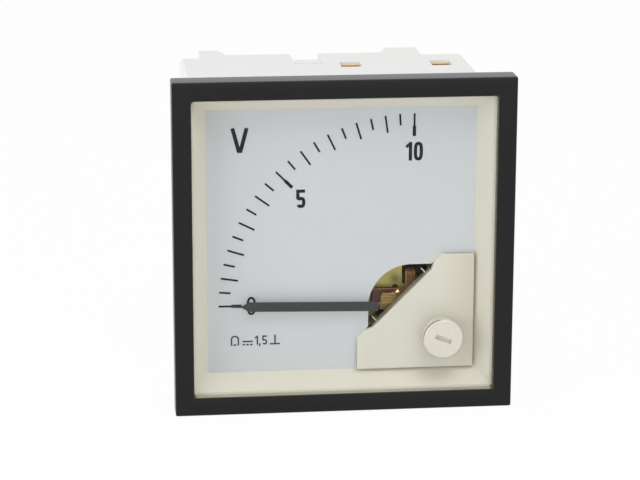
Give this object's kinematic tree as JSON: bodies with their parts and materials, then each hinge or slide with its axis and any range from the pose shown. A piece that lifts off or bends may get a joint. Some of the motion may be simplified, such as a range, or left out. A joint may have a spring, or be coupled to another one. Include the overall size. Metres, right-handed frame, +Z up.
{
  "type": "panel voltmeter",
  "caption": "Square analog panel meter with a quarter-circle scale, black bezel, cream case and moving-coil movement; pointer and zero screw turn.",
  "frame": {"origin": "centre of the bezel's rear face, the plane that seats on the front of the panel", "axes": "+Y into the panel, so the dial faces -Y; +Z up; +X to the right as seen by someone who reads the dial"},
  "size_m": [0.072, 0.063, 0.072],
  "materials": {
    "bezel_plastic": "fine matt black moulding",
    "clear_window": "clear polished plastic",
    "case_plastic": "off-white moulding",
    "surround_plastic": "cream moulding",
    "dial_paint": "pale grey semi-matt paint",
    "scale_ink": "black screen print",
    "cover_plastic": "cream moulding",
    "adjuster_plastic": "polished cream plastic",
    "spring_steel": "bright spring steel",
    "lever_brass": "stamped brass",
    "bridge_brass": "machined brass",
    "screw_steel": "zinc-plated steel",
    "jewel_red": "polished synthetic jewel",
    "spring_bronze": "phosphor bronze ribbon",
    "frame_steel": "dull yellow-passivated steel",
    "yoke_steel": "dark passivated steel",
    "magnet_grey": "ground magnet alloy",
    "bracket_olive": "yellow-passivated steel",
    "former_aluminium": "lacquered aluminium",
    "winding_copper": "enamelled copper wire",
    "board_brown": "red-brown laminated board",
    "arm_brass": "stamped brass",
    "pointer_black": "matt black paint on aluminium",
    "terminal_brass": "bright brass",
    "washer_steel": "zinc-plated steel",
    "tag_tinned": "tinned brass",
    "resistor_body": "lacquered ceramic",
    "wire_red": "insulated stranded wire"
  },
  "bodies": {
    "housing": {"bezel": "bezel_plastic", "window": "clear_window", "case": "case_plastic", "dial_surround": "surround_plastic", "dial_plate": "dial_paint", "scale_print": "scale_ink", "corner_cover": "cover_plastic", "front_bridge": "bridge_brass", "bridge_screws": "screw_steel", "front_jewel_screw": "bridge_brass", "front_jewel": "jewel_red", "movement_frame": "frame_steel", "frame_screws": "screw_steel", "yoke_ring": "yoke_steel", "core_magnet": "magnet_grey", "core_bracket": "bracket_olive", "bracket_screws": "screw_steel", "movement_base": "frame_steel", "base_screws": "screw_steel", "rear_bridge": "bridge_brass", "rear_bridge_screws": "screw_steel", "rear_jewel_screw": "bridge_brass", "rear_jewel": "jewel_red", "jewel_locknut": "bridge_brass", "frame_nuts": "terminal_brass", "terminal_studs": "terminal_brass", "terminal_washers": "washer_steel", "terminal_nuts": "terminal_brass", "terminal_tags": "tag_tinned", "movement_tags": "tag_tinned", "series_resistor": "resistor_body", "lead_wires": "wire_red"},
    "moving_coil": {"coil_former": "former_aluminium", "coil_winding": "winding_copper", "front_pivot": "bridge_brass", "rear_pivot": "bridge_brass", "carrier_plate": "board_brown", "pointer_arm": "arm_brass", "pointer": "pointer_black", "balance_weight": "screw_steel", "front_hairspring": "spring_bronze", "rear_hairspring": "spring_bronze"},
    "zero_adjuster": {"zero_adjuster": "adjuster_plastic", "adjuster_ring": "spring_steel"},
    "zero_lever": {"zero_lever": "lever_brass"}
  },
  "joints": [
    {"name": "coil_swing", "type": "hinge", "parent": "housing", "child": "moving_coil", "pos_m": [0.01525, 0, -0.01435], "axis": [0, 1, 0], "range_deg": [-2, 91], "stiffness_Nm_per_rad": 0.0002, "deforming": ["front_hairspring", "rear_hairspring"]},
    {"name": "zero_adjust", "type": "hinge", "parent": "housing", "child": "zero_adjuster", "pos_m": [0.02114, 0, -0.02056], "axis": [0, 1, 0], "range_deg": [-25, 25]},
    {"name": "lever_swing", "type": "hinge", "parent": "housing", "child": "zero_lever", "pos_m": [0.01525, 0, -0.01435], "axis": [0, 1, 0], "range_deg": [-3.5, 3.5], "deforming": ["front_hairspring"]}
  ],
  "couplings": [
    {"joint": "lever_swing", "follows": "zero_adjust", "ratio": -0.1323}
  ]
}
